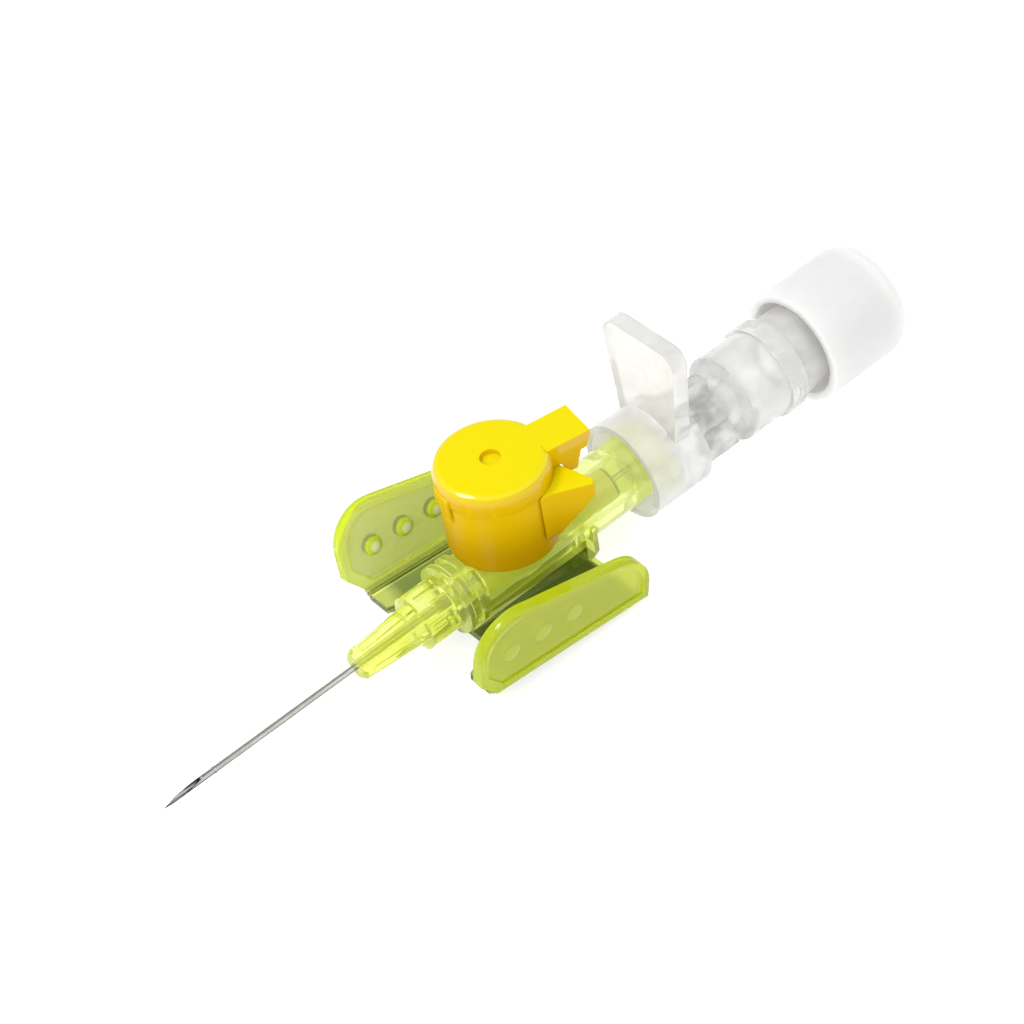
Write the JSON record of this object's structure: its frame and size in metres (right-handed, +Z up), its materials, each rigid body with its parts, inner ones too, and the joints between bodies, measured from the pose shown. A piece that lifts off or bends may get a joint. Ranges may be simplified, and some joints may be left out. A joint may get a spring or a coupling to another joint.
{
  "type": "winged intravenous cannula",
  "caption": "Over-needle intravenous cannula with folding wings, a capped injection port, a clear needle hub with thumb plate and flash chamber, and a rear luer plug.",
  "frame": {"origin": "on the needle axis, at the front face of the catheter hub's nose, where the catheter leaves it", "axes": "+X along the needle axis to the rear plug, +Z up through the injection port, +Y to the right as seen from the rear"},
  "size_m": [0.0844, 0.0217, 0.0196],
  "materials": {
    "lime_plastic": "see-through lime moulding",
    "yellow_plastic": "opaque golden yellow, glossy",
    "clear_plastic": "clear moulding",
    "white_plastic": "milky white, satin",
    "catheter_plastic": "clear soft tube",
    "silicone": "pale cream, matt",
    "needle_steel": "bright drawn tube",
    "ferrule_steel": "pressed bush",
    "adhesive": "cured adhesive",
    "porous_plastic": "sintered white"
  },
  "bodies": {
    "cannula": {"catheter_hub": "lime_plastic", "catheter_tube": "catheter_plastic", "catheter_ferrule": "ferrule_steel", "valve_sleeve": "silicone"},
    "left_wing": {"wing_left": "lime_plastic"},
    "right_wing": {"wing_right": "lime_plastic"},
    "collar": {"port_collar": "yellow_plastic"},
    "lid": {"port_lid": "yellow_plastic"},
    "stylet": {"needle_shaft": "needle_steel", "needle_glue": "adhesive", "needle_hub": "clear_plastic", "vent_filter": "porous_plastic"},
    "plug": {"luer_plug": "white_plastic"}
  },
  "joints": [
    {"name": "left_wing_fold", "type": "hinge", "parent": "cannula", "child": "left_wing", "pos_m": [0.0178, -0.00885, -0.0043], "axis": [0.9949, 0, -0.1011], "range_deg": [-6, 84]},
    {"name": "right_wing_fold", "type": "hinge", "parent": "cannula", "child": "right_wing", "pos_m": [0.0178, 0.00885, -0.0043], "axis": [-0.9949, 0, 0.1011], "range_deg": [-12, 78]},
    {"name": "collar_swivel", "type": "hinge", "parent": "cannula", "child": "collar", "pos_m": [0.0178, 0, 0.006], "axis": [0, 0, 1], "continuous": true},
    {"name": "lid_flip", "type": "hinge", "parent": "collar", "child": "lid", "pos_m": [0.01263, 0.00091, 0.00999], "axis": [-0.1736, -0.9848, 0], "range_deg": [0, 120]},
    {"name": "needle_slide", "type": "slide", "parent": "cannula", "child": "stylet", "axis": [1, 0, 0], "range_m": [0, 0.062]},
    {"name": "plug_slide", "type": "slide", "parent": "stylet", "child": "plug", "axis": [1, 0, 0], "range_m": [0, 0.014]}
  ]
}
